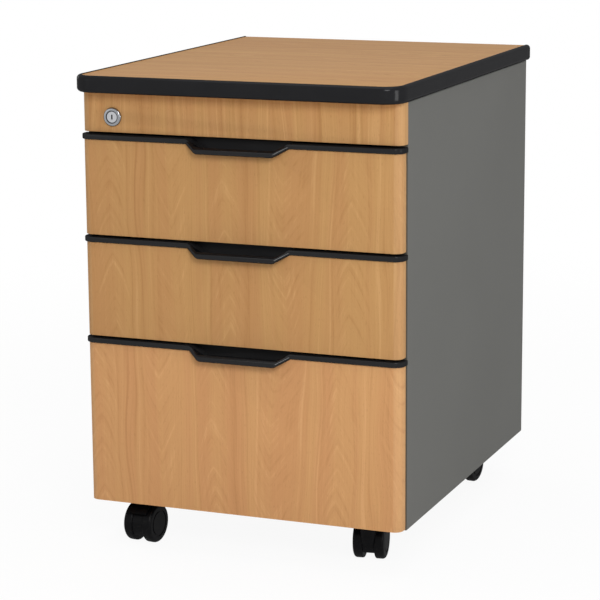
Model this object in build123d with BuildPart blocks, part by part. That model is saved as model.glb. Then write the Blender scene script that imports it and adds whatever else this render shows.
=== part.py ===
from build123d import *
import os
from dataclasses import dataclass
from math import cos, radians, sin, sqrt

# A mobile office pedestal. A painted steel case stands on four twin-wheel casters and holds
# three drawers on ball-bearing slides. The top, the drawer fronts and the fascia are laminated
# board, the edge band and the full-width handles are black plastic, and one lock holds all the
# drawers. Millimetres. +Z is up, the drawers open towards -Y, and the origin is on the floor
# under the middle of the top.

# Steel case
body_width = 420.0
case_sheet = 1.0
base_sheet = 1.2
fold_radius = 1.5
stile_width = 17.0
front_stile_return = 25.0
rear_stile_return = 55.0
bottom_flange = 30.0
pan_lip = 12.0
pan_clear = 3.0
back_flange = 12.0
top_rail_flange = 40.0
front_rail_lip = 18.0
rear_rail_height = 38.0
pan_gap = 0.2

# Top board and its plastic edge band
top_thickness = 21.0
top_side_overhang = 4.0
top_front_overhang = 20.0
top_rear_overhang = 3.0
top_corner = 28.0
band_width = 6.0
band_proud = 0.8
band_round = 5.0
tongue_length = 9.0
tongue_thickness = 3.0
groove_gap = 0.15

# Drawer fronts and fascia
front_thickness = 18.0
front_corner = 11.0
deep_front_height = 212.0
shallow_front_height = 125.5
reveal = 3.0
fascia_height = 50.0
front_rise = 2.5
front_inset = 1.0
bumper_gap = 3.5

# Handle strip and its finger pull
cap_thickness = 3.0
skirt_height = 6.5
strip_proud = 2.5
strip_round = 1.2
pull_bottom_width = 99.0
pull_drop = 16.8
pull_slope = 1.8
pull_corner = 9.0
pull_wall = 6.0
pull_floor = 1.5
pull_back_wall = 2.5
bezel_lap = 1.5
notch_gap = 0.2
lip_proud = 14.5
lip_height = 8.2
lip_face = 5.0
lip_thickness = 4.5
lip_blend = 4.0
lip_round = 2.6

# Drawer boxes
box_sheet = 1.0
shallow_box_rise = 10.0
shallow_box_height = 88.0
deep_box_height = 170.0
hem_height = 8.0

# Ball-bearing slides
slide_thickness = 12.7
slide_length = 450.0
slide_setback = 1.0
slide_rear_room = 43.5
rail_sheet = 1.2
rail_gap = 0.4
rail_reach = 10.0
rail_clear = 1.0
shallow_slide_height = 35.0
deep_slide_height = 46.0
shallow_slide_rise = 32.0
deep_slide_rise = 70.0
rail_screw_inset = 12.0

# Screws and bumpers
screw_radius = 2.0
screw_head_radius = 3.8
screw_head_height = 2.2
screw_gap = 0.06
board_screw_length = 14.0
rail_screw_length = 5.0
front_screw_spacing = 240.0
front_screw_margin = 18.0
fascia_screw_lock_gap = 77.0
fascia_screw_end_gap = 13.0
fascia_screw_count = 4
top_screw_spacing = 260.0
bumper_radius = 4.0
bumper_air = 0.15

# Lock
lock_inset = 43.0
lock_rise = 19.0
rim_radius = 11.75
rim_thickness = 3.0
rim_round = 2.4
housing_radius = 9.0
housing_length = 30.0
lock_hole_gap = 0.2
plug_radius = 6.0
plug_head_radius = 7.2
plug_head_depth = 3.0
plug_recess = 0.6
plug_gap = 0.05
keyway_width = 1.8
keyway_height = 6.0
keyway_depth = 12.0
tang_radius = 4.0
nut_flats = 24.0
nut_thickness = 5.0
cam_radius = 11.5
cam_thickness = 2.0
cam_throw = 8.0
cam_half_angle = 45.0
cam_pin_radius = 2.5
cam_pin_length = 16.0

# Lock bar, its guides and the drawer catches
bar_thickness = 2.0
bar_width = 16.0
bar_skin_gap = 4.0
bar_stile_gap = 2.0
slot_gap = 0.35
tab_margin = 5.0
finger_height = 10.0
finger_reach = 9.0
finger_air = 1.5
catch_reach = 9.0
catch_height = 12.0
catch_length = 20.0
catch_sheet = 1.2
catch_drop = 9.0
catch_air = 1.0
guide_height = 20.0
guide_depth = 16.0
guide_wall = 2.5
guide_gap = 0.3

# Casters
wheel_radius = 25.0
wheel_width = 12.5
wheel_round = 4.0
wheel_inner_round = 2.0
wheel_side_gap = 0.3
hub_ring_radius = 17.0
hub_ring_width = 2.0
hub_ring_depth = 0.8
web_width = 14.0
web_radius = 23.0
web_floor = 11.5
hood_gap = 1.0
hood_wall = 2.2
guard_height = 12.0
guard_reach = 6.0
caster_trail = 18.0
boss_radius = 11.0
swivel_gap = 0.3
collar_radius = 12.0
collar_thickness = 4.5
pin_radius = 3.0
pin_length = 20.0
pin_gap = 0.05
stem_radius = 5.0
thread_show = 2.0
stem_hole_gap = 0.2
stem_nut_flats = 17.0
stem_nut_thickness = 6.0
axle_radius = 3.0
axle_end_wall = 3.0
axle_gap = 0.05
caster_side_inset = 62.0
caster_front_inset = 33.5
caster_rear_inset = 92.0
front_left_angle = 175.0
front_right_angle = 9.0
rear_left_angle = 335.0
rear_right_angle = 355.0

# Heights above the floor
hood_top = 2 * wheel_radius + hood_gap + hood_wall
z_pan = hood_top + swivel_gap + collar_thickness
stem_length = base_sheet + stem_nut_thickness + thread_show
z_case = z_pan - case_sheet
z_lower_front = z_case + front_rise
z_middle_front = z_lower_front + deep_front_height + reveal
z_upper_front = z_middle_front + shallow_front_height + reveal
z_fascia = z_upper_front + shallow_front_height + reveal
z_top = z_fascia + fascia_height
z_board_top = z_top + top_thickness - band_proud
z_tongue = z_top + (top_thickness - tongue_thickness) / 2

# Depths, from the front edge of the top to its back edge. The case and the drawer boxes follow the slides.
case_depth = slide_setback + slide_length + slide_rear_room + case_sheet
box_length = slide_length
top_depth = top_front_overhang + front_thickness + bumper_gap + case_depth + top_rear_overhang
y_top_front = -top_depth / 2
y_top_back = top_depth / 2
y_front = y_top_front + top_front_overhang
y_front_back = y_front + front_thickness
y_case = y_front_back + bumper_gap
y_back = y_case + case_depth
y_fascia = y_case - front_thickness
y_rail = y_case + slide_setback
y_rail_screws = (y_rail + rail_screw_inset, y_rail + slide_length - rail_screw_inset)

# Half widths, from the middle of the cabinet outwards
top_width = body_width + 2 * top_side_overhang
front_width = body_width - 2 * front_inset
x_skin = body_width / 2
x_skin_inside = x_skin - case_sheet
x_opening = x_skin - stile_width
x_box = x_opening - slide_thickness
x_pan = x_opening - case_sheet - pan_gap

# Lock and lock bar
lock_x = -(x_skin - lock_inset)
lock_z = z_fascia + lock_rise
y_rim = y_fascia - rim_thickness
y_plug = y_rim + plug_recess
y_housing_back = y_fascia + housing_length
y_nut = y_case + case_sheet
x_bar = -(x_skin_inside - bar_skin_gap)
y_bar = y_case + front_stile_return + bar_stile_gap
y_catch = y_bar + bar_thickness + catch_air
pin_side = cam_throw * cos(radians(cam_half_angle))
pin_rest_rise = cam_throw * sin(radians(cam_half_angle))


@dataclass
class Drawer:
    name: str
    z_front: float
    front_height: float
    box_height: float
    slide_height: float
    slide_rise: float
    box_rise: float

    @property
    def z_strip(self):
        return self.z_front + self.front_height

    @property
    def z_box(self):
        return self.z_front + self.box_rise

    @property
    def z_box_top(self):
        return self.z_box + self.box_height

    @property
    def z_slide(self):
        return self.z_box + self.slide_rise

    @property
    def z_catch_top(self):
        return self.z_box_top - catch_drop

    @property
    def screw_points(self):
        low = self.z_box + front_screw_margin
        high = self.z_box_top - front_screw_margin
        return [(x, z) for x in (-front_screw_spacing / 2, front_screw_spacing / 2) for z in (low, high)]


shallow_slide = (shallow_slide_height, shallow_slide_rise)
shallow_sizes = (shallow_front_height, shallow_box_height, *shallow_slide, shallow_box_rise)
deep_slide = (deep_slide_height, deep_slide_rise)
deep_box_rise = case_sheet + pan_lip + pan_clear - front_rise
deep_sizes = (deep_front_height, deep_box_height, *deep_slide, deep_box_rise)
upper = Drawer("upper", z_upper_front, *shallow_sizes)
middle = Drawer("middle", z_middle_front, *shallow_sizes)
lower = Drawer("lower", z_lower_front, *deep_sizes)
drawers = (upper, middle, lower)
sides = (-1, 1)


def keep(piece, name):
    """Labels a finished piece and writes it."""
    piece.label = name
    export_step(piece, f"parts/{name}.step")


def block(x, y, z, mode=Mode.ADD):
    """A box between two values along each axis, in either order."""
    with Locations(((x[0] + x[1]) / 2, (y[0] + y[1]) / 2, (z[0] + z[1]) / 2)):
        Box(abs(x[1] - x[0]), abs(y[1] - y[0]), abs(z[1] - z[0]), mode=mode)


def rod(start, direction, radius, length, mode=Mode.ADD):
    """A round bar, or a round hole, from a point along a direction."""
    with Locations(Plane(start, z_dir=direction)):
        Cylinder(radius, length, align=(Align.CENTER, Align.CENTER, Align.MIN), mode=mode)


def screw(seat, direction, length):
    """A pan-head screw: its head bears on the seat and its shank runs along the direction."""
    with Locations(Plane(seat, z_dir=direction)):
        Cylinder(screw_radius, length, align=(Align.CENTER, Align.CENTER, Align.MIN))
        Cylinder(screw_head_radius, screw_head_height, align=(Align.CENTER, Align.CENTER, Align.MAX))


def screw_hole(seat, direction, length):
    """The hole that a screw's shank passes through."""
    rod(seat, direction, screw_radius + screw_gap, length, mode=Mode.SUBTRACT)


os.makedirs("parts", exist_ok=True)
rail_screw_points = [(y, drawer.z_slide) for drawer in drawers for y in y_rail_screws]
y_top_screws = (y_case + top_rail_flange / 2, y_back - case_sheet - top_rail_flange / 2)
top_screw_points = [(x, y) for x in (-top_screw_spacing / 2, top_screw_spacing / 2) for y in y_top_screws]
z_fascia_screws = z_fascia + fascia_height / 2
x_fascia_screws = (lock_x + fascia_screw_lock_gap, x_opening - fascia_screw_end_gap)
fascia_screw_pitch = (x_fascia_screws[1] - x_fascia_screws[0]) / (fascia_screw_count - 1)
fascia_screw_xs = [x_fascia_screws[0] + fascia_screw_pitch * step for step in range(fascia_screw_count)]
caster_places = {
    "front_left": (-(x_skin - caster_side_inset), y_case + caster_front_inset, front_left_angle),
    "front_right": (x_skin - caster_side_inset, y_case + caster_front_inset, front_right_angle),
    "rear_left": (-(x_skin - caster_side_inset), y_back - caster_rear_inset, rear_left_angle),
    "rear_right": (x_skin - caster_side_inset, y_back - caster_rear_inset, rear_right_angle),
}
stem_points = [(x, y) for x, y, angle in caster_places.values()]

# Side panels: one sheet each, folded into a stile at the front and the rear, with a flange
# under the top board and one that carries the base pan.
for side, name in zip(sides, ("left_side_panel", "right_side_panel")):
    with BuildPart() as side_panel:
        whole_depth = (y_case, y_back)
        whole_height = (z_case, z_top)
        skin = (side * x_skin_inside, side * x_skin)
        stile = (side * x_opening, side * x_skin)
        stile_return = (side * x_opening, side * (x_opening + case_sheet))
        block(skin, whole_depth, whole_height)
        block(stile, (y_case, y_case + case_sheet), whole_height)
        block(stile, (y_back - case_sheet, y_back), whole_height)
        block(stile_return, (y_case, y_case + front_stile_return), whole_height)
        block(stile_return, (y_back - rear_stile_return, y_back), whole_height)
        block(stile, whole_depth, (z_top - case_sheet, z_top))
        block((side * (x_skin - bottom_flange), side * x_skin), whole_depth, (z_case, z_pan))
        fillet(side_panel.edges().filter_by_position(Axis.X, side * x_skin, side * x_skin), fold_radius)
        for y, z in rail_screw_points:
            screw_hole((side * (x_opening - case_sheet), y, z), (side, 0, 0), 3 * case_sheet)
    keep(side_panel.part, name)

# Back panel: a flat sheet between the rear stiles, with a flange along each side.
with BuildPart() as back_panel:
    block((-x_opening, x_opening), (y_back - case_sheet, y_back), (z_pan, z_top))
    for side in sides:
        flange = (side * (x_opening - case_sheet), side * x_opening)
        block(flange, (y_back - back_flange, y_back), (z_pan, z_top))
keep(back_panel.part, "back_panel")

# Base pan: rests on the bottom flanges, is turned up at its front and rear, and takes the
# caster stems.
with BuildPart() as base_pan:
    pan_depth = (y_case, y_back - case_sheet)
    block((-x_pan, x_pan), pan_depth, (z_pan, z_pan + base_sheet))
    block((-x_pan, x_pan), (y_case, y_case + base_sheet), (z_pan, z_pan + pan_lip))
    block((-x_pan, x_pan), (pan_depth[1] - base_sheet, pan_depth[1]), (z_pan, z_pan + pan_lip))
    with Locations([(x, y, z_pan + base_sheet) for x, y in stem_points]):
        Hole(stem_radius + stem_hole_gap, depth=base_sheet)
keep(base_pan.part, "base_pan")

# Front top rail: a channel behind the fascia, with an end tab against each front stile. It
# carries the fascia, the lock and the front of the top.
with BuildPart() as front_top_rail:
    rail_span = (-x_opening, x_opening)
    block(rail_span, (y_case, y_case + case_sheet), (z_fascia, z_top))
    block(rail_span, (y_case, y_case + top_rail_flange), (z_top - case_sheet, z_top))
    block(rail_span, (y_case, y_case + front_rail_lip), (z_fascia, z_fascia + case_sheet))
    for side in sides:
        tab = (side * (x_opening - case_sheet), side * x_opening)
        block(tab, (y_case, y_case + front_stile_return), (z_fascia, z_top))
    rod((lock_x, y_case, lock_z), (0, 1, 0), housing_radius + lock_hole_gap, case_sheet, Mode.SUBTRACT)
    for x in fascia_screw_xs:
        screw_hole((x, y_case + case_sheet, z_fascia_screws), (0, -1, 0), case_sheet)
    for x, y in top_screw_points:
        screw_hole((x, y, z_top - case_sheet), (0, 0, 1), case_sheet)
keep(front_top_rail.part, "front_top_rail")

# Rear top rail: an angle inside the back panel that carries the rear of the top.
with BuildPart() as rear_top_rail:
    y_rear_rail = y_back - case_sheet
    rail_span = (-x_pan, x_pan)
    block(rail_span, (y_rear_rail - case_sheet, y_rear_rail), (z_top - rear_rail_height, z_top))
    block(rail_span, (y_rear_rail - top_rail_flange, y_rear_rail), (z_top - case_sheet, z_top))
    for x, y in top_screw_points:
        screw_hole((x, y, z_top - case_sheet), (0, 0, 1), case_sheet)
keep(rear_top_rail.part, "rear_top_rail")


def top_plan(z, inset):
    """Plan of the top, drawn in by the inset at the front and the sides, not at the rear."""
    with BuildSketch(Plane.XY.offset(z)) as plan:
        with Locations((0, (y_top_front + inset + y_top_back) / 2)):
            Rectangle(top_width - 2 * inset, top_depth - inset)
        fillet(plan.vertices().group_by(Axis.Y)[0], top_corner - inset)
    return plan.sketch


# Top board: laminated board with a groove round its front and sides for the band's tongue.
with BuildPart() as top_board:
    extrude(top_plan(z_top, band_width), amount=z_board_top - z_top)
    groove_height = tongue_thickness + 2 * groove_gap
    z_groove = z_tongue - groove_gap
    with BuildSketch(Plane.XY.offset(z_groove)):
        add(top_plan(z_groove, band_width))
        add(top_plan(z_groove, band_width + tongue_length + groove_gap), mode=Mode.SUBTRACT)
    extrude(amount=groove_height, mode=Mode.SUBTRACT)
    for x, y in top_screw_points:
        screw_hole((x, y, z_top), (0, 0, 1), board_screw_length + screw_gap)
keep(top_board.part, "top_board")

# Edge band: black plastic moulding round the front and sides of the top board, held by a
# tongue in the board's groove. It stops square at the rear edge.
with BuildPart() as top_edge_band:
    extrude(top_plan(z_top, 0), amount=top_thickness)
    rims = top_edge_band.edges().filter_by(Axis.Z, reverse=True)
    fillet(rims.filter_by(lambda edge: edge.center().Y < y_top_back - band_width), band_round)
    extrude(top_plan(z_top, band_width), amount=top_thickness, mode=Mode.SUBTRACT)
    with BuildSketch(Plane.XY.offset(z_tongue)):
        add(top_plan(z_tongue, band_width))
        add(top_plan(z_tongue, band_width + tongue_length), mode=Mode.SUBTRACT)
    extrude(amount=tongue_thickness)
keep(top_edge_band.part, "top_edge_band")

# Screws that hold the top board, driven up through the two top rails.
with BuildPart() as top_board_screws:
    for x, y in top_screw_points:
        screw((x, y, z_top - case_sheet), (0, 0, 1), board_screw_length + case_sheet)
keep(top_board_screws.part, "top_board_screws")


def board_plan(z, y_face, width, grow=0.0):
    """Plan of a front board: two rounded front corners and a square back."""
    with BuildSketch(Plane.XY.offset(z)) as plan:
        with Locations((0, y_face + (front_thickness - grow) / 2)):
            Rectangle(width + 2 * grow, front_thickness + grow)
        fillet(plan.vertices().group_by(Axis.Y)[0], front_corner + grow)
    return plan.sketch


# Fascia: the fixed board under the top, which holds the lock.
with BuildPart() as lock_fascia:
    extrude(board_plan(z_fascia, y_fascia, body_width), amount=fascia_height)
    lock_hole = housing_radius + lock_hole_gap
    rod((lock_x, y_fascia, lock_z), (0, 1, 0), lock_hole, front_thickness, Mode.SUBTRACT)
    for x in fascia_screw_xs:
        screw_hole((x, y_case, z_fascia_screws), (0, -1, 0), board_screw_length + screw_gap)
keep(lock_fascia.part, "lock_fascia")

# Screws that hold the fascia, driven forwards through the front top rail.
with BuildPart() as fascia_screws:
    for x in fascia_screw_xs:
        screw((x, y_case + case_sheet, z_fascia_screws), (0, -1, 0), board_screw_length + case_sheet)
keep(fascia_screws.part, "fascia_screws")

# Lock housing: a threaded barrel with a domed round rim.
with BuildPart() as lock_housing:
    rod((lock_x, y_fascia, lock_z), (0, 1, 0), housing_radius, housing_length)
    rod((lock_x, y_fascia, lock_z), (0, -1, 0), rim_radius, rim_thickness)
    fillet(lock_housing.edges().sort_by(Axis.Y)[0], rim_round)
    rod((lock_x, y_rim, lock_z), (0, 1, 0), plug_radius + plug_gap, y_housing_back - y_rim, Mode.SUBTRACT)
    head_depth = plug_recess + plug_head_depth + plug_gap
    rod((lock_x, y_rim, lock_z), (0, 1, 0), plug_head_radius + plug_gap, head_depth, Mode.SUBTRACT)
keep(lock_housing.part, "lock_housing")

# Nut that clamps the lock housing to the front top rail.
with BuildPart() as lock_nut:
    with BuildSketch(Plane((lock_x, y_nut, lock_z), z_dir=(0, 1, 0))):
        RegularPolygon(nut_flats / 2, 6, major_radius=False)
        Circle(housing_radius + screw_gap, mode=Mode.SUBTRACT)
    extrude(amount=nut_thickness)
keep(lock_nut.part, "lock_nut")

# Lock plug: turns in the housing, with the keyway in its face and a tang for the cam.
with BuildPart() as lock_barrel:
    rod((lock_x, y_plug, lock_z), (0, 1, 0), plug_radius, y_housing_back + swivel_gap - y_plug)
    rod((lock_x, y_plug, lock_z), (0, 1, 0), plug_head_radius, plug_head_depth)
    tang_length = swivel_gap + cam_thickness
    rod((lock_x, y_housing_back, lock_z), (0, 1, 0), tang_radius, tang_length)
    keyway_x = (lock_x - keyway_width / 2, lock_x + keyway_width / 2)
    keyway_z = (lock_z - keyway_height / 2, lock_z + keyway_height / 2)
    block(keyway_x, (y_plug, y_plug + keyway_depth), keyway_z, Mode.SUBTRACT)
keep(lock_barrel.part, "lock_barrel")

# Lock cam: a disc on the plug's tang, with a crank pin that lifts and lowers the lock bar.
with BuildPart() as lock_cam:
    y_cam = y_housing_back + swivel_gap
    rod((lock_x, y_cam, lock_z), (0, 1, 0), cam_radius, cam_thickness)
    rod((lock_x, y_cam, lock_z), (0, 1, 0), tang_radius + plug_gap, cam_thickness, Mode.SUBTRACT)
    pin_at = (lock_x + pin_side, y_cam, lock_z + pin_rest_rise)
    rod(pin_at, (0, 1, 0), cam_pin_radius, cam_thickness + cam_pin_length)
keep(lock_cam.part, "lock_cam")

# Lock bar: one strip behind the left stile. Its tab takes the crank pin in a level slot, and
# a finger above each drawer's catch drops in front of the catch when the bar is lowered.
with BuildPart() as lock_bar:
    z_slot = lock_z + pin_rest_rise
    slot_half = cam_pin_radius + slot_gap
    slot_x = (lock_x + pin_side - slot_half, lock_x + cam_throw + slot_half)
    bar_front = (y_bar, y_bar + bar_thickness)
    z_bar_top = z_slot + slot_half + tab_margin
    z_bar_low = lower.z_catch_top + finger_air
    block((x_bar, x_bar + bar_thickness), (y_bar, y_bar + bar_width), (z_bar_low, z_bar_top))
    block((x_bar, slot_x[1] + tab_margin), bar_front, (z_slot - slot_half - tab_margin, z_bar_top))
    for drawer in drawers:
        z_finger = drawer.z_catch_top + finger_air
        block((x_bar, finger_reach - x_opening), bar_front, (z_finger, z_finger + finger_height))
    block(slot_x, bar_front, (z_slot - slot_half, z_slot + slot_half), Mode.SUBTRACT)
keep(lock_bar.part, "lock_bar")

# Guides that hold the lock bar to the left side panel.
with BuildPart() as lock_bar_guides:
    guide_front = y_bar + bar_thickness + guide_gap
    guide_y = (guide_front, guide_front + guide_depth)
    guide_x = (-x_skin_inside, x_bar + bar_thickness + guide_gap + guide_wall)
    slot_x = (x_bar - guide_gap, x_bar + bar_thickness + guide_gap)
    slot_y = (guide_front, y_bar + bar_width + guide_gap)
    for drawer in (middle, lower):
        z_guide = drawer.z_strip - guide_height / 2
        block(guide_x, guide_y, (z_guide, z_guide + guide_height))
        block(slot_x, slot_y, (z_guide, z_guide + guide_height), Mode.SUBTRACT)
keep(lock_bar_guides.part, "lock_bar_guides")


def channel(side, x_web, x_lip, z_middle, height, y):
    """One slide member: an upright web and a flange along its top and its bottom."""
    toward = 1 if x_lip > x_web else -1
    low = z_middle - height / 2
    high = z_middle + height / 2
    block((side * x_web, side * (x_web + toward * rail_sheet)), y, (low, high))
    block((side * x_web, side * x_lip), y, (low, low + rail_sheet))
    block((side * x_web, side * x_lip), y, (high - rail_sheet, high))


nested = 2 * (rail_sheet + rail_gap)
rail_y = (y_rail, y_rail + slide_length)

# Cabinet rails: the outer slide members, screwed to the stiles at both sides of the case.
for drawer in drawers:
    with BuildPart() as cabinet_rails:
        for side in sides:
            channel(side, x_opening, x_opening - rail_reach, drawer.z_slide, drawer.slide_height, rail_y)
            for y in y_rail_screws:
                seat = (side * (x_opening - rail_sheet), y, drawer.z_slide)
                screw_hole(seat, (side, 0, 0), rail_sheet)
    keep(cabinet_rails.part, f"{drawer.name}_cabinet_rails")

# Screws that hold the cabinet rails to the stiles.
with BuildPart() as rail_screws:
    for side in sides:
        for y, z in rail_screw_points:
            screw((side * (x_opening - rail_sheet), y, z), (side, 0, 0), rail_screw_length)
keep(rail_screws.part, "rail_screws")

# Middle rails: the lower drawer's slides have a third member, so that it opens all the way.
with BuildPart() as lower_middle_rails:
    x_middle_web = x_opening - slide_thickness / 2
    middle_height = lower.slide_height - nested
    for side in sides:
        outer_lip = x_opening - rail_sheet - rail_clear
        inner_lip = x_box + rail_sheet + rail_clear
        channel(side, x_middle_web, outer_lip, lower.z_slide, middle_height, rail_y)
        channel(side, x_middle_web, inner_lip, lower.z_slide, middle_height, rail_y)
keep(lower_middle_rails.part, "lower_middle_rails")

# Rubber bumpers on the front stiles, which the closed drawers rest against.
with BuildPart() as drawer_bumpers:
    for drawer in drawers:
        for side in sides:
            seat = (side * (x_skin - stile_width / 2), y_case, (drawer.z_front + drawer.z_strip) / 2)
            rod(seat, (0, -1, 0), bumper_radius, bumper_gap - bumper_air)
keep(drawer_bumpers.part, "drawer_bumpers")


def pull_outline(z_strip, z_floor, margin):
    """Front view of the finger pull above a level, drawn in by the margin at its slanted ends."""
    z_low = z_strip - pull_drop
    draw_in = margin * sqrt(1 + pull_slope ** 2)
    low_half = pull_bottom_width / 2 + (z_floor - z_low) * pull_slope - draw_in
    high_half = pull_bottom_width / 2 + pull_drop * pull_slope - draw_in
    with BuildSketch(Plane.XZ.offset(-y_front)) as outline:
        with BuildLine():
            Polyline(
                (-low_half, z_floor), (low_half, z_floor), (high_half, z_strip), (-high_half, z_strip),
                close=True,
            )
        make_face()
        fillet(outline.vertices().group_by(Axis.Y)[0], pull_corner - margin / 2)
    return outline.sketch


def make_front(drawer):
    """Drawer front: laminated board with rounded edges, notched at its top for the pull."""
    with BuildPart() as front:
        board = board_plan(drawer.z_front, y_front, front_width)
        extrude(board, amount=drawer.front_height - cap_thickness)
        z_notch = drawer.z_strip - pull_drop + bezel_lap
        notch = pull_outline(drawer.z_strip, z_notch, bezel_lap)
        extrude(notch, amount=-front_thickness, mode=Mode.SUBTRACT)
        for x, z in drawer.screw_points:
            screw_hole((x, y_front_back, z), (0, -1, 0), board_screw_length + screw_gap)
    return front.part


def make_handle(drawer):
    """Handle: a plastic strip over the front's top edge that dips into a finger pull."""
    z_strip = drawer.z_strip
    z_low = z_strip - pull_drop
    z_lip = z_low + lip_height
    z_root = z_strip - skirt_height / 2
    y_lip = y_front - lip_proud
    y_skirt = y_front - strip_proud
    y_trough_back = y_front_back - pull_back_wall
    half_span = pull_bottom_width / 2 + pull_drop * pull_slope
    with BuildPart() as bezel:
        with BuildSketch(Plane.YZ.offset(-half_span)) as profile:
            with BuildLine():
                Polyline(
                    (y_front, z_root), (y_skirt, z_root), (y_lip, z_low + lip_face),
                    (y_lip, z_low), (y_front, z_low),
                    close=True,
                )
            make_face()
            bend = [v for v in profile.vertices() if z_low < v.Y < z_root]
            fillet(bend, lip_blend)
        extrude(amount=2 * half_span)
        outline = pull_outline(z_strip, z_low, 0)
        extrude(outline, amount=lip_proud + strip_proud, mode=Mode.INTERSECT)
        rim = [
            e for e in bezel.edges()
            if e.bounding_box().max.Y < y_front - strip_proud / 2
            and e.bounding_box().size.Y < lip_proud - strip_proud / 2
            and not (e.geom_type == GeomType.LINE and e.bounding_box().size.X > pull_bottom_width
                     and e.center().Z > z_low + lip_round)
        ]
        fillet(rim, lip_round)
    with BuildPart() as handle:
        extrude(board_plan(z_strip - skirt_height, y_front, front_width, strip_proud), amount=skirt_height)
        strip_rims = handle.edges().filter_by(Axis.Z, reverse=True)
        strip_rims = strip_rims.filter_by(lambda edge: edge.center().Y < y_front_back - strip_round)
        fillet(strip_rims, strip_round)
        skirt_inside = board_plan(z_strip - skirt_height, y_front, front_width)
        extrude(skirt_inside, amount=skirt_height - cap_thickness, mode=Mode.SUBTRACT)
        add(bezel.part)
        lining = pull_outline(z_strip, z_low + bezel_lap + notch_gap, bezel_lap + notch_gap)
        extrude(lining, amount=-front_thickness)
        mouth = pull_outline(z_strip, z_lip, pull_wall)
        extrude(mouth, amount=lip_proud + strip_proud, mode=Mode.SUBTRACT)
        extrude(mouth, amount=y_front - y_trough_back, mode=Mode.SUBTRACT)
        trough = pull_outline(z_strip, z_low + bezel_lap + notch_gap + pull_floor, pull_wall)
        extrude(trough, amount=lip_proud - lip_thickness, mode=Mode.SUBTRACT)
        extrude(trough, amount=y_front - y_trough_back, mode=Mode.SUBTRACT)
    return handle.part


def make_box(drawer):
    """Drawer box: five sheet-steel panels welded edge to edge, hemmed along the sides and the rear."""
    box_y = (y_front_back, y_front_back + box_length)
    wall_z = (drawer.z_box + box_sheet, drawer.z_box_top)
    hem_z = (drawer.z_box_top - hem_height, drawer.z_box_top)
    x_wall = x_box - box_sheet
    y_rear = box_y[1] - box_sheet
    with BuildPart() as floor_panel:
        block((-x_box, x_box), box_y, (drawer.z_box, wall_z[0]))
    with BuildPart() as front_panel:
        block((-x_wall, x_wall), (box_y[0], box_y[0] + box_sheet), wall_z)
        for x, z in drawer.screw_points:
            screw_hole((x, y_front_back + box_sheet, z), (0, -1, 0), box_sheet)
    with BuildPart() as rear_panel:
        block((-x_wall, x_wall), (y_rear, box_y[1]), wall_z)
        block((-x_wall, x_wall), (y_rear - box_sheet, y_rear), hem_z)
    with BuildPart() as side_walls:
        hem_y = (box_y[0] + box_sheet, y_rear - box_sheet)
        for side in sides:
            block((side * x_wall, side * x_box), box_y, wall_z)
            block((side * (x_wall - box_sheet), side * x_wall), hem_y, hem_z)
    panels = (floor_panel, front_panel, rear_panel, side_walls)
    return Compound([solid for panel in panels for solid in panel.solids()])


def make_drawer_rails(drawer, height, x_lip):
    """Drawer rails: the inner slide members, welded to both sides of the drawer box."""
    with BuildPart() as rails:
        for side in sides:
            channel(side, x_box, x_lip, drawer.z_slide, height, rail_y)
    return rails.part


def make_front_screws(drawer):
    """Screws that hold the front, driven forwards from inside the drawer box."""
    with BuildPart() as screws:
        for x, z in drawer.screw_points:
            screw((x, y_front_back + box_sheet, z), (0, -1, 0), board_screw_length + box_sheet)
    return screws.part


def make_catch(drawer):
    """Catch: a bent steel angle on the left side of the box, behind the lock bar's finger."""
    catch_z = (drawer.z_catch_top - catch_height, drawer.z_catch_top)
    with BuildPart() as catch:
        block((-x_box, -x_box - catch_sheet), (y_catch, y_catch + catch_length), catch_z)
        block((-x_box, -x_box - catch_reach), (y_catch, y_catch + catch_sheet), catch_z)
    return catch.part


for drawer in drawers:
    keep(make_box(drawer), f"{drawer.name}_drawer_box")
    keep(make_front(drawer), f"{drawer.name}_drawer_front")
    keep(make_handle(drawer), f"{drawer.name}_drawer_handle")
    keep(make_front_screws(drawer), f"{drawer.name}_front_screws")
    keep(make_catch(drawer), f"{drawer.name}_drawer_catch")
    if drawer is lower:
        rails = make_drawer_rails(drawer, middle_height - nested, x_middle_web - rail_sheet - rail_gap)
    else:
        rails = make_drawer_rails(drawer, drawer.slide_height - nested, x_opening - rail_sheet - rail_clear)
    keep(rails, f"{drawer.name}_drawer_rails")

# Caster stems: a threaded stem through the base pan, a collar under it and a swivel pin.
with BuildPart() as caster_stems:
    for x, y in stem_points:
        rod((x, y, z_pan), (0, 0, -1), collar_radius, collar_thickness)
        rod((x, y, z_pan), (0, 0, -1), pin_radius, collar_thickness + swivel_gap + pin_length)
        rod((x, y, z_pan), (0, 0, 1), stem_radius, stem_length)
keep(caster_stems.part, "caster_stems")

# Nuts that hold the caster stems, inside the case.
with BuildPart() as caster_nuts:
    with BuildSketch(Plane.XY.offset(z_pan + base_sheet)):
        with Locations(stem_points):
            RegularPolygon(stem_nut_flats / 2, 6, major_radius=False)
            Circle(stem_radius + screw_gap, mode=Mode.SUBTRACT)
    extrude(amount=stem_nut_thickness)
keep(caster_nuts.part, "caster_nuts")

# One caster, about its swivel axis, with its axle along X and its wheels trailing towards +Y.
axle = Axis((0, caster_trail, wheel_radius), (1, 0, 0))
wheel_inside = web_width / 2 + wheel_side_gap
wheel_outside = wheel_inside + wheel_width
axle_half = wheel_outside - axle_end_wall

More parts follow.
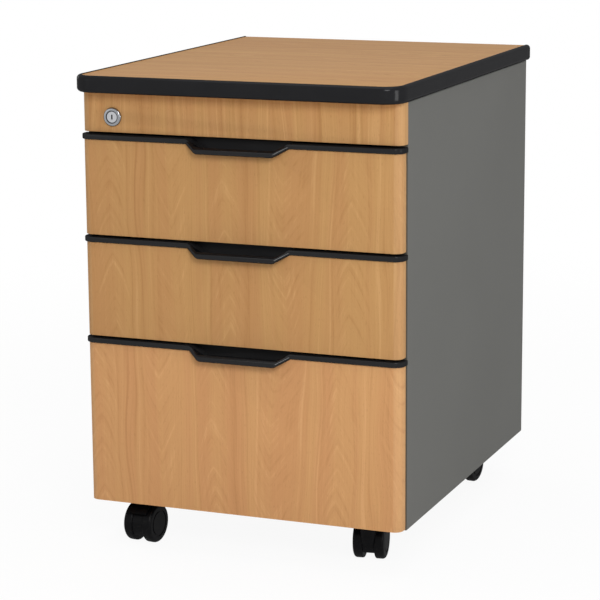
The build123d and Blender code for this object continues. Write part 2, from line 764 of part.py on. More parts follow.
# Hood: a middle web that carries the axle and the swivel pin, and a guard that reaches over
# the inner half of both wheels. Its foot is cut off level above the floor.
with BuildPart() as caster_hood:
    pocket_radius = wheel_radius + hood_gap
    guard_width = web_width + 2 * guard_reach
    with BuildSketch(Plane.YZ.offset(-guard_width / 2)):
        with Locations((caster_trail, wheel_radius)):
            Circle(pocket_radius + hood_wall)
        with Locations((caster_trail, 0)):
            Rectangle(4 * wheel_radius, 2 * (hood_top - guard_height), mode=Mode.SUBTRACT)
    extrude(amount=guard_width)
    rod((0, 0, wheel_radius), (0, 0, 1), boss_radius, hood_top - wheel_radius)
    for side in sides:
        start = (side * web_width / 2, caster_trail, wheel_radius)
        rod(start, (side, 0, 0), pocket_radius, 2 * wheel_width, Mode.SUBTRACT)
    rod((-web_width / 2, caster_trail, wheel_radius), (1, 0, 0), web_radius, web_width)
    web_depth = (caster_trail - web_radius, caster_trail + web_radius)
    block((-web_width / 2, web_width / 2), web_depth, (0, web_floor), Mode.SUBTRACT)
    rod((0, 0, hood_top), (0, 0, -1), pin_radius + pin_gap, pin_length + swivel_gap, Mode.SUBTRACT)
    rod((-web_width / 2, caster_trail, wheel_radius), (1, 0, 0), axle_radius, web_width, Mode.SUBTRACT)

# Axle: a steel pin pressed through the web, with a wheel on each end.
with BuildPart() as caster_axle:
    rod((-axle_half, caster_trail, wheel_radius), (1, 0, 0), axle_radius, 2 * axle_half)

# Wheel: a solid moulded wheel with rounded shoulders, a ring on its face and a blind bore.
with BuildPart() as caster_wheel:
    with BuildSketch(Plane(axle.position, x_dir=(0, 0, 1), z_dir=(0, -1, 0))) as section:
        with Locations((wheel_radius / 2, -(wheel_inside + wheel_outside) / 2)):
            Rectangle(wheel_radius, wheel_width)
        fillet(section.vertices().group_by(Axis.X)[-1].sort_by(Axis.Y)[0], wheel_round)
        fillet(section.vertices().group_by(Axis.X)[-1].sort_by(Axis.Y)[-1], wheel_inner_round)
    revolve(axis=axle)
    rod((wheel_inside, caster_trail, wheel_radius), (1, 0, 0), axle_radius + axle_gap,
        axle_half + axle_gap - wheel_inside, Mode.SUBTRACT)
    with BuildSketch(Plane((wheel_outside, caster_trail, wheel_radius), z_dir=(1, 0, 0))):
        Circle(hub_ring_radius)
        Circle(hub_ring_radius - hub_ring_width, mode=Mode.SUBTRACT)
    extrude(amount=-hub_ring_depth, mode=Mode.SUBTRACT)

right_wheel = caster_wheel.part
left_wheel = mirror(right_wheel, about=Plane.YZ)
for name, (x, y, angle) in caster_places.items():
    place = Pos(x, y, 0) * Rot(0, 0, angle)
    keep(place * caster_hood.part, f"{name}_caster_hood")
    keep(place * caster_axle.part, f"{name}_caster_axle")
    keep(place * right_wheel, f"{name}_caster_right_wheel")
    keep(place * left_wheel, f"{name}_caster_left_wheel")
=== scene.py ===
import math

import bmesh
import bpy
from mathutils import Matrix, Vector


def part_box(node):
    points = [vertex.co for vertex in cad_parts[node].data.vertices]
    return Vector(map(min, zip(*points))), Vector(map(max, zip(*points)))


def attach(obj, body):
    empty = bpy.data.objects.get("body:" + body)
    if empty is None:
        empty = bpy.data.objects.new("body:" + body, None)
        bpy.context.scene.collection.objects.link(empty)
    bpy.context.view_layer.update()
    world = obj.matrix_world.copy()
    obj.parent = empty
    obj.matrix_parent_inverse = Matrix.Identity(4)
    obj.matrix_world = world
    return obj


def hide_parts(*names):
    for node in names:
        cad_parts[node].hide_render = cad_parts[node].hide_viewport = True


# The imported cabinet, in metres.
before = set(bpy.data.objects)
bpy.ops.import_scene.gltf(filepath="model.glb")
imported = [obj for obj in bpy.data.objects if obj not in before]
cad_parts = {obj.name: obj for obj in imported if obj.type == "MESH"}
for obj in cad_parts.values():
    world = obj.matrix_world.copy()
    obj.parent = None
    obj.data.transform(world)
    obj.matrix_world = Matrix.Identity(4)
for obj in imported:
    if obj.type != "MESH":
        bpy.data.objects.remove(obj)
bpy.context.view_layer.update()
drawer_names = ("upper", "middle", "lower")
caster_names = ("front_left", "front_right", "rear_left", "rear_right")

# Steel case. Side panels, back, base pan and top rails are folded from thin steel sheet, spot
# welded, and powder coated in a dark grey with a fine, slightly pebbled texture. The front
# flanges behind the drawer fronts are painted darker, a painted shade for the gap behind the fronts.


class Wire:
    """A shader socket that Python arithmetic can be written on."""

    def __init__(self, finish, socket):
        self.finish = finish
        self.socket = socket

    def __add__(self, other):
        return self.finish.math("ADD", self, other)

    def __radd__(self, other):
        return self.finish.math("ADD", other, self)

    def __sub__(self, other):
        return self.finish.math("SUBTRACT", self, other)

    def __rsub__(self, other):
        return self.finish.math("SUBTRACT", other, self)

    def __mul__(self, other):
        return self.finish.math("MULTIPLY", self, other)

    def __rmul__(self, other):
        return self.finish.math("MULTIPLY", other, self)

    def __truediv__(self, other):
        return self.finish.math("DIVIDE", self, other)

    def __rtruediv__(self, other):
        return self.finish.math("DIVIDE", other, self)

    def __pow__(self, other):
        return self.finish.math("POWER", self, other)

    def __rpow__(self, other):
        return self.finish.math("POWER", other, self)


class Finish:
    """A material with one Principled shader, and the nodes that vary it over a surface."""

    def __init__(self, name, **constants):
        self.material = bpy.data.materials.new(name)
        self.material.use_nodes = True
        self.tree = self.material.node_tree
        self.shader = self.tree.nodes["Principled BSDF"]
        self.place = self.node("ShaderNodeTexCoord", output="Object")
        for socket, value in constants.items():
            self.shader.inputs[socket.replace("_", " ")].default_value = value

    def node(self, kind, settings=None, inputs=None, output=0):
        """Adds a node: its settings first, then the values or links of its sockets."""
        made = self.tree.nodes.new(kind)
        for key, value in (settings or {}).items():
            setattr(made, key, value)
        for key, value in (inputs or {}).items():
            self.feed(made.inputs[key], value)
        return Wire(self, made.outputs[output])

    def feed(self, socket, value):
        """Links a wire to a socket, or sets the socket's own value."""
        if isinstance(value, Wire):
            self.tree.links.new(value.socket, socket)
        else:
            socket.default_value = value

    def vary(self, socket, wire):
        """Feeds one socket of the Principled shader."""
        self.feed(self.shader.inputs[socket], wire)

    def math(self, operation, *values):
        return self.node("ShaderNodeMath", {"operation": operation}, dict(enumerate(values)))

    def axes(self, place=None):
        """The three coordinates of a place, one wire each."""
        split = self.node("ShaderNodeSeparateXYZ", {}, {"Vector": place or self.place}).socket.node
        return [Wire(self, socket) for socket in split.outputs]

    def stretch(self, x, y, z, place=None):
        """Coordinates scaled along each axis, in repeats a metre."""
        return self.node("ShaderNodeMapping", {}, {"Vector": place or self.place, "Scale": (x, y, z)})

    def noise(self, place, detail=2.0, roughness=0.5):
        return self.node("ShaderNodeTexNoise", {}, {
            "Vector": place, "Scale": 1.0, "Detail": detail, "Roughness": roughness,
        })

    def rise(self, value, low, high):
        """0 below the low value, 1 above the high one, and a smooth step between them."""
        return self.node("ShaderNodeMapRange", {"interpolation_type": "SMOOTHSTEP"}, {
            "Value": value, "From Min": low, "From Max": high,
        })

    def mix(self, factor, first, second):
        """A blend of two colours."""
        return self.node("ShaderNodeMix", {"data_type": "RGBA"}, {0: factor, 6: first, 7: second}, output=2)

    def bump(self, height, depth):
        """Raises the surface by the height times the depth in metres."""
        raised = self.node("ShaderNodeBump", {}, {"Height": height, "Distance": depth, "Strength": 1.0})
        self.vary("Normal", raised)


def shade(*srgb):
    """A linear colour from sRGB values out of 255."""
    parts = [value / 255 for value in srgb]
    return (*[p / 12.92 if p <= 0.04045 else ((p + 0.055) / 1.055) ** 2.4 for p in parts], 1.0)


def coat(finish, *names):
    """Gives CAD nodes a finish."""
    for name in names:
        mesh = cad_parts[name].data
        mesh.materials.clear()
        mesh.materials.append(finish.material)


def powder_coat(name):
    """Powder coat with a pebbled skin: the finish, and the wire that carries its grey."""
    finish = Finish(name, Specular_IOR_Level=0.0, Coat_Weight=0.16, Coat_Roughness=0.4)
    pebbles = finish.noise(finish.stretch(1500, 1500, 1500), detail=3.0)
    clouds = finish.noise(finish.stretch(5, 5, 5), detail=2.0)
    grey = finish.mix(clouds * 0.7 + pebbles * 0.3, shade(98, 98, 95), shade(106, 106, 103))
    finish.vary("Roughness", 0.46 + 0.16 * pebbles)
    finish.bump(pebbles, 0.0001)
    return finish, grey


case_paint, case_grey = powder_coat("case_powder_coat")
case_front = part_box("right_side_panel")[0].y
flange_skin = case_front + 0.0002
flange_back = case_front + 0.0008
# Painted shade: the front faces of the flanges get a darker grey that stands for the shadowed gap behind
# the fronts.
gap_shade_grey = shade(90, 85, 77)
shaded_flange = 1 - case_paint.rise(case_paint.axes()[1], flange_skin, flange_back)
case_paint.vary("Base Color", case_paint.mix(shaded_flange, case_grey, gap_shade_grey))
coat(case_paint, "left_side_panel", "right_side_panel", "back_panel", "base_pan", "front_top_rail",
     "rear_top_rail")

# Casters. Twin wheels and a hood, moulded in black nylon, turn on a bright steel axle and a
# swivel stem that is nutted to the base pan. Use has scuffed the nylon a little paler in places.
caster_nylon = Finish("black_caster_nylon", Specular_IOR_Level=0.0, Coat_Weight=0.14, Coat_Roughness=0.34)
grain = caster_nylon.noise(caster_nylon.stretch(900, 900, 900), detail=3.0)
scuffs = caster_nylon.rise(caster_nylon.noise(caster_nylon.stretch(160, 160, 420), detail=4.0), 0.56, 0.72)
caster_nylon.vary("Base Color", caster_nylon.mix(scuffs * 0.3, shade(9, 9, 11), shade(34, 33, 32)))
caster_nylon.vary("Roughness", 0.4 + 0.12 * grain + 0.15 * scuffs)
caster_nylon.bump(grain, 0.00006)
for name in caster_names:
    coat(caster_nylon, f"{name}_caster_hood", f"{name}_caster_left_wheel", f"{name}_caster_right_wheel")

turned_steel = Finish("turned_steel", Metallic=1.0)
tool_marks = turned_steel.noise(turned_steel.stretch(400, 400, 2600), detail=2.0)
turned_steel.vary("Base Color", turned_steel.mix(tool_marks, shade(158, 158, 157), shade(196, 196, 194)))
turned_steel.vary("Roughness", 0.24 + 0.2 * tool_marks)
turned_steel.bump(tool_marks, 0.00002)
coat(turned_steel, "caster_stems", *[f"{name}_caster_axle" for name in caster_names])

# Drawer slides. Roll-formed steel channels with a zinc plate, which shows fine lengthwise
# streaks and darker greased patches. The outer ones are screwed to the stiles.
slide_zinc = Finish("slide_zinc", Metallic=1.0)
rolling = slide_zinc.noise(slide_zinc.stretch(700, 7, 1800), detail=3.0)
grease = slide_zinc.rise(slide_zinc.noise(slide_zinc.stretch(30, 12, 60), detail=3.0), 0.5, 0.7)
plate = slide_zinc.mix(rolling, shade(166, 167, 168), shade(202, 203, 203))
slide_zinc.vary("Base Color", slide_zinc.mix(grease * 0.4, plate, shade(120, 116, 108)))
slide_zinc.vary("Roughness", 0.26 + 0.16 * rolling + 0.1 * grease)
slide_zinc.bump(rolling, 0.00003)
coat(slide_zinc, "lower_middle_rails")
for name in drawer_names:
    coat(slide_zinc, f"{name}_cabinet_rails", f"{name}_drawer_rails")

# Screws. Pan-head screws with a cross recess and a bright zinc plate hold the top, the fascia,
# the slides and the drawer fronts. One Geometry Nodes tree makes them all from their seats.
screw_head_radius = 0.0038
screw_head_height = 0.0022
screw_head_sides = 28
screw_shank_sides = 14
board_screw_length = 0.015
zinc_screw = Finish("zinc_screw", Metallic=1.0)
spangle = zinc_screw.noise(zinc_screw.stretch(1400, 1400, 1400), detail=2.0)
zinc_screw.vary("Base Color", zinc_screw.mix(spangle, shade(150, 151, 150), shade(203, 204, 201)))
zinc_screw.vary("Roughness", 0.22 + 0.2 * spangle)

screw_tree = bpy.data.node_groups.new("pan_head_screws", "GeometryNodeTree")
screw_sizes = {
    "Head radius": screw_head_radius, "Head height": screw_head_height, "Crown share": 0.74,
    "Shank radius": 0.002, "Shank length": board_screw_length, "Recess width": 0.001,
    "Recess length": 0.0042, "Recess depth": 0.0013,
}
screw_tree.interface.new_socket("Seats", in_out="INPUT", socket_type="NodeSocketGeometry")
for size_name, size in screw_sizes.items():
    socket = screw_tree.interface.new_socket(size_name, in_out="INPUT", socket_type="NodeSocketFloat")
    socket.default_value = size
screw_tree.interface.new_socket("Finish", in_out="INPUT", socket_type="NodeSocketMaterial")
screw_tree.interface.new_socket("Screws", in_out="OUTPUT", socket_type="NodeSocketGeometry")
given = screw_tree.nodes.new("NodeGroupInput")


def screw_node(kind, settings=None, inputs=None):
    """Adds a node to the screws' tree: its settings first, then the values or links of its sockets."""
    made = screw_tree.nodes.new(kind)
    for key, value in (settings or {}).items():
        setattr(made, key, value)
    for key, value in (inputs or {}).items():
        for source in value if isinstance(value, list) else [value]:
            if isinstance(source, bpy.types.NodeSocket):
                screw_tree.links.new(source, made.inputs[key])
            else:
                made.inputs[key].default_value = source
    return made.outputs[0]


def screw_size(operation, first, second):
    """One size worked out from two others."""
    return screw_node("ShaderNodeMath", {"operation": operation}, {0: first, 1: second})


def screw_place(x, y, z):
    return screw_node("ShaderNodeCombineXYZ", {}, {"X": x, "Y": y, "Z": z})


crown_radius = screw_size("MULTIPLY", given.outputs["Head radius"], given.outputs["Crown share"])
head = screw_node("GeometryNodeMeshCone", {}, {
    "Vertices": screw_head_sides, "Radius Top": crown_radius,
    "Radius Bottom": given.outputs["Head radius"], "Depth": given.outputs["Head height"],
})
recess_height = screw_size("MULTIPLY", given.outputs["Recess depth"], 2.0)
recess_place = screw_place(0.0, 0.0, given.outputs["Head height"])
recess_arms = []
for x_size, y_size in (("Recess length", "Recess width"), ("Recess width", "Recess length")):
    arm_size = screw_place(given.outputs[x_size], given.outputs[y_size], recess_height)
    arm = screw_node("GeometryNodeMeshCube", {}, {"Size": arm_size})
    raised_arm = screw_node("GeometryNodeTransform", {}, {"Geometry": arm, "Translation": recess_place})
    recess_arms.append(raised_arm)
slotted = screw_node("GeometryNodeMeshBoolean", {"operation": "DIFFERENCE"}, {0: head, 1: recess_arms})
shank = screw_node("GeometryNodeMeshCylinder", {}, {
    "Vertices": screw_shank_sides, "Radius": given.outputs["Shank radius"],
    "Depth": given.outputs["Shank length"],
})
half_shank = screw_size("MULTIPLY", given.outputs["Shank length"], -0.5)
shank_place = screw_place(0.0, 0.0, half_shank)
sunk_shank = screw_node("GeometryNodeTransform", {}, {"Geometry": shank, "Translation": shank_place})
one_screw = screw_node("GeometryNodeJoinGeometry", {}, {0: [slotted, sunk_shank]})
outward = screw_node("GeometryNodeInputNamedAttribute", {"data_type": "FLOAT_VECTOR"}, {"Name": "outward"})
aim = screw_node("FunctionNodeAlignRotationToVector", {"axis": "Z"}, {"Vector": outward})
placed = screw_node("GeometryNodeInstanceOnPoints", {}, {
    "Points": given.outputs["Seats"], "Instance": one_screw, "Rotation": aim,
})
real = screw_node("GeometryNodeRealizeInstances", {}, {"Geometry": placed})
plated = screw_node("GeometryNodeSetMaterial", {}, {"Geometry": real, "Material": given.outputs["Finish"]})
screw_tree.links.new(plated, screw_tree.nodes.new("NodeGroupOutput").inputs["Screws"])


def drive_screws(node, body, seats, outward, length):
    """Screws that stand for one CAD node: their heads bear on the seats and face outward."""
    seat_mesh = bpy.data.meshes.new(f"{node}_seats")
    seat_mesh.from_pydata(seats, [], [])
    facing = seat_mesh.attributes.new("outward", "FLOAT_VECTOR", "POINT")
    for point, direction in zip(facing.data, outward):
        point.vector = direction
    piece = bpy.data.objects.new(f"{node}_driven", seat_mesh)
    bpy.context.scene.collection.objects.link(piece)
    pattern = piece.modifiers.new("screws", "NODES")
    pattern.node_group = screw_tree
    sockets = [item for item in screw_tree.interface.items_tree if item.in_out == "INPUT"]
    inputs = {item.name: item.identifier for item in sockets}
    pattern[inputs["Shank length"]] = length
    pattern[inputs["Finish"]] = zinc_screw.material
    made = piece.evaluated_get(bpy.context.evaluated_depsgraph_get())
    screws = bpy.data.meshes.new_from_object(made)
    piece.modifiers.clear()
    piece.data = screws
    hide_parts(node)
    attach(piece, body)


low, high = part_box("top_board_screws")
top_seats = [(x, y, low.z + screw_head_height)
             for x in (low.x + screw_head_radius, high.x - screw_head_radius)
             for y in (low.y + screw_head_radius, high.y - screw_head_radius)]
drive_screws("top_board_screws", "case", top_seats, [(0, 0, -1)] * len(top_seats), board_screw_length)

low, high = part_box("fascia_screws")
fascia_screw_count = 4
fascia_step = (high.x - low.x - 2 * screw_head_radius) / (fascia_screw_count - 1)
fascia_screw_y = high.y - screw_head_height
fascia_screw_z = (low.z + high.z) / 2
fascia_seats = [(low.x + screw_head_radius + step * fascia_step, fascia_screw_y, fascia_screw_z)
                for step in range(fascia_screw_count)]
drive_screws("fascia_screws", "case", fascia_seats, [(0, 1, 0)] * fascia_screw_count, board_screw_length)

low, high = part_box("rail_screws")
rail_screw_length = 0.005
rail_heights = [sum(corner.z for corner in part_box(f"{name}_cabinet_rails")) / 2 for name in drawer_names]
rail_seats = [(side * (high.x - rail_screw_length), y, z) for side in (-1, 1)
              for y in (low.y + screw_head_radius, high.y - screw_head_radius) for z in rail_heights]
rail_facing = [(-math.copysign(1, seat[0]), 0, 0) for seat in rail_seats]
drive_screws("rail_screws", "case", rail_seats, rail_facing, rail_screw_length)

for name in drawer_names:
    low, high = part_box(f"{name}_front_screws")
    front_seats = [(x, high.y - screw_head_height, z)
                   for x in (low.x + screw_head_radius, high.x - screw_head_radius)
                   for z in (low.z + screw_head_radius, high.z - screw_head_radius)]
    drive_screws(f"{name}_front_screws", f"{name}_drawer", front_seats, [(0, 1, 0)] * len(front_seats),
                 board_screw_length)

# Lock parts and nuts. The lock bar, cam, catches and nuts are plain zinc-plated steel, dulled by
# handling. The bar runs in two guides of natural nylon.
dull_zinc = Finish("dull_zinc_plate", Metallic=1.0)
blotches = dull_zinc.noise(dull_zinc.stretch(90, 90, 90), detail=4.0)
dull_zinc.vary("Base Color", dull_zinc.mix(blotches, shade(138, 138, 135), shade(188, 188, 184)))
dull_zinc.vary("Roughness", 0.32 + 0.22 * blotches)
catches = [f"{name}_drawer_catch" for name in drawer_names]
coat(dull_zinc, "lock_bar", "lock_cam", "lock_nut", "caster_nuts", *catches)

guide_nylon = Finish("natural_nylon", Subsurface_Weight=0.1)
milkiness = guide_nylon.noise(guide_nylon.stretch(220, 220, 220), detail=2.0)
guide_nylon.vary("Base Color", guide_nylon.mix(milkiness, shade(206, 203, 192), shade(222, 220, 211)))
guide_nylon.vary("Roughness", 0.4 + 0.14 * milkiness)
coat(guide_nylon, "lock_bar_guides")

# Drawer boxes and bumpers. Each box is five hemmed panels of sheet steel, welded edge to edge and
# powder coated like the case. Small black rubber bumpers on the stiles stop the closing fronts.
box_paint, box_grey = powder_coat("box_powder_coat")
box_paint.vary("Base Color", box_grey)
coat(box_paint, *[f"{name}_drawer_box" for name in drawer_names])

rubber = Finish("black_rubber", Specular_IOR_Level=0.3)
bloom = rubber.noise(rubber.stretch(700, 700, 700), detail=3.0)
rubber.vary("Base Color", rubber.mix(bloom, shade(16, 16, 16), shade(34, 34, 34)))
rubber.vary("Roughness", 0.66 + 0.2 * bloom)
coat(rubber, "drawer_bumpers")

# Laminated boards: the drawer fronts, the fascia and the top. Particle board faced with a beech
# print, with upright grain on the fronts and cross grain on the top. Their sharp edges are eased.


def beech_laminate(name, turn, sheet_shift, pale=0.0, figure=1.0, gloss=0.1, edge_sheen_share=0.13):
    """Beech laminate whose grain runs along Z once the coordinates are turned.

    A pale sheet is lighter, without figure the grain is straight, and a painted sheen lightens the
    rounded upright edges by the share that the last argument gives.
    """
    column = 0.08
    sway = 0.07
    finish = Finish(name, Specular_IOR_Level=0.0, Coat_Roughness=0.32)
    laying = {"Vector": finish.place, "Rotation": turn, "Location": sheet_shift}
    laid = finish.node("ShaderNodeMapping", {}, laying)
    across, through, along = finish.axes(laid)
    flow = finish.noise(finish.stretch(9, 9, 2.2, laid), detail=2.0)
    swayed = across + (flow - 0.5) * sway
    offset = finish.math("PINGPONG", swayed, column / 2)
    leaf = finish.math("FLOORED_MODULO", finish.math("FLOOR", swayed / column + 0.5), 2.0)
    chevron = offset * 1.3 + offset * offset * 30 + along * (1 - 2 * leaf)
    drawn = finish.node("ShaderNodeCombineXYZ", {}, {"X": swayed, "Y": through, "Z": along})
    ringed = finish.node("ShaderNodeCombineXYZ", {}, {"X": chevron * 85, "Y": leaf * 9, "Z": flow * 7})
    rings = finish.noise(ringed, detail=3.0, roughness=0.6)
    streaks = finish.noise(finish.stretch(230, 230, 2.2, drawn), detail=4.0, roughness=0.65)
    fibres = finish.noise(finish.stretch(900, 900, 13, drawn), detail=3.0, roughness=0.6)
    flecks = finish.rise(finish.noise(finish.stretch(1500, 1500, 150, laid), detail=1.0), 0.64, 0.74)
    tint = finish.noise(finish.stretch(55, 55, 1.3, drawn), detail=3.0)
    heart = (1 - finish.rise(offset, 0.01, 0.034)) * figure
    grain = heart * rings * 0.7 + (1 - heart * 0.7) * streaks
    print_tones = ((188, 144, 93), (185, 138, 90), (199, 155, 104), (168, 121, 75), (136, 92, 56))
    tones = [shade(r + 14 * pale, g + 9 * pale, b + 10 * pale) for r, g, b in print_tones]
    yellow_tone, red_tone, light_tone, dark_tone, fleck_tone = tones
    body_tone = finish.mix(finish.rise(tint, 0.36, 0.64), yellow_tone, red_tone)
    lightened = finish.mix((1 - finish.rise(grain, 0.32, 0.48)) * 0.8, body_tone, light_tone)
    darkened = finish.mix(finish.rise(grain, 0.5, 0.7) * 0.7, lightened, dark_tone)
    fibred = finish.mix(finish.rise(fibres, 0.44, 0.72) * 0.25, darkened, dark_tone)
    flecked = finish.mix(flecks * 0.35, fibred, fleck_tone)
    half_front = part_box("lock_fascia")[1].x
    from_middle = finish.math("ABSOLUTE", finish.axes()[0])
    # Painted sheen: the rounded upright edges are blended towards a paler tone, a painted highlight.
    edge_sheen_mask = finish.rise(from_middle, half_front - 0.0115, half_front - 0.0095)
    edge_sheen_tone = shade(204, 176, 138)
    finish.vary("Base Color", finish.mix(edge_sheen_mask * edge_sheen_share, flecked, edge_sheen_tone))
    finish.vary("Coat Weight", gloss + 0.04 * streaks)
    finish.vary("Roughness", 0.44 + 0.1 * streaks + 0.06 * fibres)
    finish.bump(fibres * 0.7 + streaks * 0.3, 0.00002)
    return finish


def eased(node, body, finish, ease):
    """A copy of a CAD solid with its loose triangles merged and its sharp edges eased."""
    merge_distance = 1e-6
    flat_angle = math.radians(0.2)
    sharp_angle = math.radians(40)
    shaded_angle = math.radians(32)
    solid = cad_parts[node].data.copy()
    skin = bmesh.new()
    skin.from_mesh(solid)
    bmesh.ops.remove_doubles(skin, verts=skin.verts, dist=merge_distance)
    bmesh.ops.dissolve_limit(skin, angle_limit=flat_angle, verts=skin.verts, edges=skin.edges)
    skin.to_mesh(solid)
    skin.free()
    if "custom_normal" in solid.attributes:
        solid.attributes.remove(solid.attributes["custom_normal"])
    piece = bpy.data.objects.new(f"{node}_eased", solid)
    bpy.context.scene.collection.objects.link(piece)
    easing = piece.modifiers.new("eased edges", "BEVEL")
    easing.width = ease
    easing.segments = 2
    easing.limit_method = "ANGLE"
    easing.angle_limit = sharp_angle
    made = piece.evaluated_get(bpy.context.evaluated_depsgraph_get())
    finished = bpy.data.meshes.new_from_object(made)
    piece.modifiers.clear()
    piece.data = finished
    finished.shade_smooth()
    finished.set_sharp_from_angle(angle=shaded_angle)
    finished.materials.clear()
    finished.materials.append(finish.material)
    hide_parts(node)
    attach(piece, body)


board_ease = 0.0006
top_ease = 0.0003
upright_beech = beech_laminate("upright_beech", (0, 0, 0), (0.012, 0, 0))
pale_beech = beech_laminate("pale_upright_beech", (0, 0, 0), (0.031, 0, 0.3), 1.0)
crosswise = (0, math.radians(90), math.radians(90))
cross_beech = beech_laminate("cross_beech", crosswise, (0.03, 0, 0), gloss=0.18, edge_sheen_share=0.0)
for name in drawer_names:
    sheet = pale_beech if name == "lower" else upright_beech
    eased(f"{name}_drawer_front", f"{name}_drawer", sheet, board_ease)
straight_beech = beech_laminate("straight_upright_beech", (0, 0, 0), (0.05, 0, 0.1), figure=0.0)
eased("lock_fascia", "case", straight_beech, board_ease)
eased("top_board", "case", cross_beech, top_ease)

# Edge band and handles, moulded in black plastic. The band is held round the top by a tongue, and
# each handle is pressed over the top of its drawer front. Its pull is matt inside, glossy outside.


def black_plastic(name):
    """Black moulded plastic with a spark-eroded texture: the finish, and the wire of its wear."""
    finish = Finish(name, Specular_IOR_Level=0.0, Coat_Roughness=0.17, Coat_IOR=2.0)
    sparks = finish.noise(finish.stretch(2600, 2600, 2600), detail=2.0)
    handling = finish.noise(finish.stretch(26, 26, 40), detail=3.0)
    finish.vary("Roughness", 0.36 + 0.1 * sparks + 0.08 * handling)
    finish.bump(sparks, 0.00003)
    return finish, handling


band_plastic, band_wear = black_plastic("edge_band_plastic")
band_plastic.vary("Base Color", band_plastic.mix(band_wear, shade(21, 21, 23), shade(28, 28, 30)))
band_plastic.vary("Coat Weight", 0.085)
coat(band_plastic, "top_edge_band")

handle_plastic, handle_wear = black_plastic("handle_plastic")
handle_ease = 0.0012
front_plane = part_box("upper_drawer_front")[0].y
polished = 1 - handle_plastic.rise(handle_plastic.axes()[1], front_plane - 0.002, front_plane + 0.002)
matt_black = handle_plastic.mix(handle_wear, shade(32, 32, 33), shade(39, 39, 40))
gloss_black = handle_plastic.mix(handle_wear, shade(13, 13, 15), shade(20, 20, 22))
handle_plastic.vary("Base Color", handle_plastic.mix(polished, matt_black, gloss_black))
handle_plastic.vary("Coat Weight", 0.02 + 0.15 * polished)
for name in drawer_names:
    eased(f"{name}_drawer_handle", f"{name}_drawer", handle_plastic, handle_ease)

# Lock. A die-cast housing with a chrome plate, whose rim stands on the fascia, and a plug with a
# keyway. The plug's face is brighter, the plate is finely circled by polishing, and dirt darkens the
# joint round the plug. The sunk middle of the keyway is painted near black, a painted shade.
chrome = Finish("chrome_plate", Metallic=1.0)
plug_low, plug_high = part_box("lock_barrel")
lock_x = (plug_low.x + plug_high.x) / 2
lock_z = (plug_low.z + plug_high.z) / 2
joint_radius = 0.0074
x, y, z = chrome.axes()
reach = chrome.math("SQRT", (x - lock_x) ** 2 + (z - lock_z) ** 2)
round_place = chrome.node("ShaderNodeCombineXYZ", {}, {"X": reach * 5200, "Y": y * 300})
circles = chrome.noise(round_place, detail=2.0)
plug_face = 1 - chrome.rise(reach, 0.0064, 0.007)
joint = 1 - chrome.rise(chrome.math("ABSOLUTE", reach - joint_radius), 0.0004, 0.0009)
sunk = chrome.rise(y, plug_low.y + 0.0003, plug_low.y + 0.0008) * plug_face
# Painted shade: the sunk middle of the keyway is painted near black.
keyway_shade = sunk * (1 - chrome.rise(chrome.math("ABSOLUTE", z - lock_z), 0.0024, 0.0034))
rim_plate = chrome.mix(circles, shade(128, 130, 134), shade(164, 166, 170))
lock_plate = chrome.mix(plug_face * 0.5, rim_plate, shade(212, 213, 216))
# Dirt in the joint and painted shade in the keyway share one dark colour and a rougher surface.
dirt_and_shade = chrome.math("MAXIMUM", joint * 0.85, keyway_shade)
chrome.vary("Base Color", chrome.mix(dirt_and_shade, lock_plate, shade(14, 13, 13)))
chrome.vary("Roughness", 0.14 + 0.1 * circles + 0.4 * dirt_and_shade)
chrome.bump(circles, 0.000015)
coat(chrome, "lock_housing", "lock_barrel")

# Studio. A pale floor in an even white surround, a wide soft lamp overhead, the key lamp at the
# front right, one at the right, a weak one at the front left, and one that fills the rear left.
# The camera, and mirrored and see-through rays, find floor and surround near white.
floor_half = 40.0
floor_corners = [(x, y, 0) for x, y in ((-floor_half, -floor_half), (floor_half, -floor_half),
                                        (floor_half, floor_half), (-floor_half, floor_half))]
floor_mesh = bpy.data.meshes.new("studio_floor")
floor_mesh.from_pydata(floor_corners, [], [(0, 1, 2, 3)])
floor = bpy.data.objects.new("studio_floor", floor_mesh)
bpy.context.scene.collection.objects.link(floor)
floor_paint = Finish("floor_paint", Roughness=0.9, Specular_IOR_Level=0.1)
floor_paint.vary("Base Color", shade(250, 250, 250))
white_glow = floor_paint.node("ShaderNodeEmission", {}, {"Color": (1, 1, 1, 1), "Strength": 1.0})
ray_kinds = ("Is Camera Ray", "Is Glossy Ray", "Is Transmission Ray")
floor_rays = floor_paint.node("ShaderNodeLightPath").socket.node.outputs
camera_ray, mirrored_ray, through_ray = [Wire(floor_paint, floor_rays[kind]) for kind in ray_kinds]
seen = floor_paint.math("MAXIMUM", camera_ray, mirrored_ray)
seen = floor_paint.math("MAXIMUM", seen, through_ray)
floor_x, floor_y = floor_paint.axes()[:2]
away = floor_paint.rise(floor_paint.math("SQRT", floor_x ** 2 + floor_y ** 2), 0.7, 2.0)
glow_share = seen * (0.93 + 0.07 * away)
painted = Wire(floor_paint, floor_paint.shader.outputs[0])
floor_look = floor_paint.node("ShaderNodeMixShader", {}, {0: glow_share, 1: painted, 2: white_glow})
floor_paint.tree.links.new(floor_look.socket, floor_paint.tree.nodes["Material Output"].inputs["Surface"])
floor_mesh.materials.append(floor_paint.material)


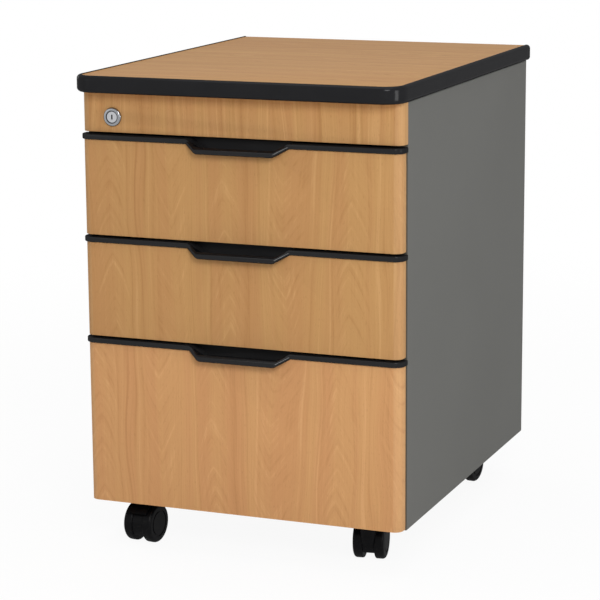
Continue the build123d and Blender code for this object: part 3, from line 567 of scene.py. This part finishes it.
def softbox(name, place, aim, size, power):
    """A square area lamp that faces a point."""
    lamp = bpy.data.lights.new(name, "AREA")
    lamp.size = size
    lamp.energy = power
    holder = bpy.data.objects.new(name, lamp)
    holder.location = place
    holder.rotation_euler = (Vector(aim) - Vector(place)).to_track_quat("-Z", "Y").to_euler()
    bpy.context.scene.collection.objects.link(holder)


softbox("overhead", (0.0, 0.0, 3.2), (0, 0, 0.3), 2.6, 31)
softbox("key", (1.2, -2.1, 1.55), (0, 0, 0.35), 0.8, 27)
softbox("right", (3.0, -0.9, 0.5), (0, 0, 0.2), 0.9, 19)
softbox("front_left", (-2.2, -2.8, 0.9), (0, 0, 0.3), 1.2, 4)
softbox("rear_left", (-3.2, 1.6, 1.0), (0, 0, 0.3), 1.4, 20)

world = bpy.data.worlds.new("white_surround")
world.use_nodes = True
bpy.context.scene.world = world
surround = world.node_tree
surround.nodes["Background"].inputs["Color"].default_value = (1, 1, 1, 1)
surround_rays = surround.nodes.new("ShaderNodeLightPath").outputs
surround_level = 0.4
seen_white = None
for kind in ray_kinds:
    lift = surround.nodes.new("ShaderNodeMath")
    lift.operation = "MAXIMUM"
    surround.links.new(surround_rays[kind], lift.inputs[0])
    lift.inputs[1].default_value = surround_level
    if seen_white:
        surround.links.new(seen_white, lift.inputs[1])
    seen_white = lift.outputs[0]
surround.links.new(seen_white, surround.nodes["Background"].inputs["Strength"])
bpy.context.scene.view_settings.view_transform = "Standard"

# Camera. It stands to the right of the cabinet, a little above its top, and looks slightly down.
camera_place = Vector((1.0807, -2.7563, 0.9079))
camera_azimuth = math.radians(21.762)
camera_tilt = math.radians(11.899)
camera_roll = math.radians(0.395)
focal_pixels = 2287.7
image_pixels = 600
camera = bpy.data.objects.new("camera", bpy.data.cameras.new("camera"))
camera.data.sensor_width = 36.0
camera.data.lens = camera.data.sensor_width * focal_pixels / image_pixels
turn = Matrix.Rotation(camera_azimuth, 4, "Z") @ Matrix.Rotation(math.pi / 2 - camera_tilt, 4, "X")
camera.matrix_world = Matrix.Translation(camera_place) @ turn @ Matrix.Rotation(-camera_roll, 4, "Z")
bpy.context.scene.collection.objects.link(camera)
bpy.context.scene.camera = camera
